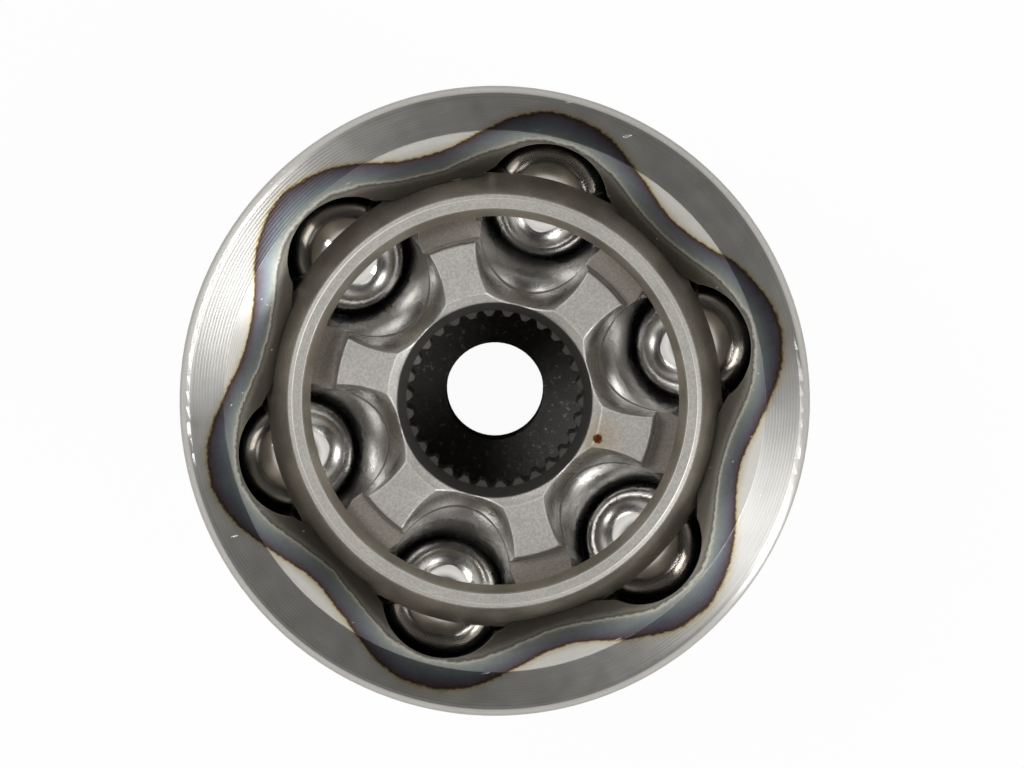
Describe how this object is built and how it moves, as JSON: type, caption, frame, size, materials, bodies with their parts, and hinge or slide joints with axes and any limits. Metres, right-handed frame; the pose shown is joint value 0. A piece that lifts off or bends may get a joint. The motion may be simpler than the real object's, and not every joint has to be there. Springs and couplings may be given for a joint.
{
  "type": "cv joint",
  "caption": "Fixed constant-velocity joint: bell outer race with face spline back, slotted ball cage, splined inner race and bearing balls that let the shaft swing.",
  "frame": {"origin": "the joint centre, on the axis in the plane of the balls, about which the cage and the inner race swing", "axes": "+Z along the axis out of the open mouth towards the driveshaft; +X through ball 1; the shaft swings in the XZ plane"},
  "size_m": [0.0878, 0.0878, 0.068],
  "materials": {
    "race_steel": "turned, with induction-hardening heat tints round the mouth",
    "cage_steel": "ground face, dark hardened sphere",
    "hub_steel": "satin",
    "ball_steel": "polished"
  },
  "bodies": {
    "outer_race": {"outer_race": "race_steel"},
    "ball_cage": {"ball_cage": "cage_steel"},
    "inner_race": {"inner_race": "hub_steel"},
    "ball_1": {"ball_1": "ball_steel"},
    "ball_2": {"ball_2": "ball_steel"},
    "ball_3": {"ball_3": "ball_steel"},
    "ball_4": {"ball_4": "ball_steel"},
    "ball_5": {"ball_5": "ball_steel"},
    "ball_6": {"ball_6": "ball_steel"}
  },
  "joints": [
    {"name": "cage_tilt", "type": "hinge", "parent": "outer_race", "child": "ball_cage", "pos_m": [0, 0, 0], "axis": [0, 1, 0], "range_deg": [-22.5, 22.5]},
    {"name": "inner_race_tilt", "type": "hinge", "parent": "ball_cage", "child": "inner_race", "pos_m": [0, 0, 0], "axis": [0, 1, 0], "range_deg": [-22.5, 22.5]},
    {"name": "ball_1_roll", "type": "slide", "parent": "ball_cage", "child": "ball_1", "axis": [1, 0, 0], "range_m": [-0.00215, 0.00215]},
    {"name": "ball_2_roll", "type": "hinge", "parent": "outer_race", "child": "ball_2", "pos_m": [0, 0, 0.0055], "axis": [0.866, -0.5, 0], "range_deg": [-11.8, 11.8]},
    {"name": "ball_3_roll", "type": "hinge", "parent": "outer_race", "child": "ball_3", "pos_m": [0, 0, 0.0055], "axis": [0.866, 0.5, 0], "range_deg": [-11.8, 11.8]},
    {"name": "ball_4_roll", "type": "slide", "parent": "ball_cage", "child": "ball_4", "axis": [-1, 0, 0], "range_m": [-0.00215, 0.00215]},
    {"name": "ball_5_roll", "type": "hinge", "parent": "outer_race", "child": "ball_5", "pos_m": [0, 0, 0.0055], "axis": [-0.866, 0.5, 0], "range_deg": [-11.8, 11.8]},
    {"name": "ball_6_roll", "type": "hinge", "parent": "outer_race", "child": "ball_6", "pos_m": [0, 0, 0.0055], "axis": [-0.866, -0.5, 0], "range_deg": [-11.8, 11.8]}
  ],
  "couplings": [
    {"joint": "inner_race_tilt", "follows": "cage_tilt", "ratio": 1},
    {"joint": "ball_1_roll", "follows": "cage_tilt", "m_per_rad": -0.005357},
    {"joint": "ball_2_roll", "follows": "cage_tilt", "ratio": -0.51875},
    {"joint": "ball_3_roll", "follows": "cage_tilt", "ratio": 0.51875},
    {"joint": "ball_4_roll", "follows": "cage_tilt", "m_per_rad": 0.005357},
    {"joint": "ball_5_roll", "follows": "cage_tilt", "ratio": 0.51875},
    {"joint": "ball_6_roll", "follows": "cage_tilt", "ratio": -0.51875}
  ]
}
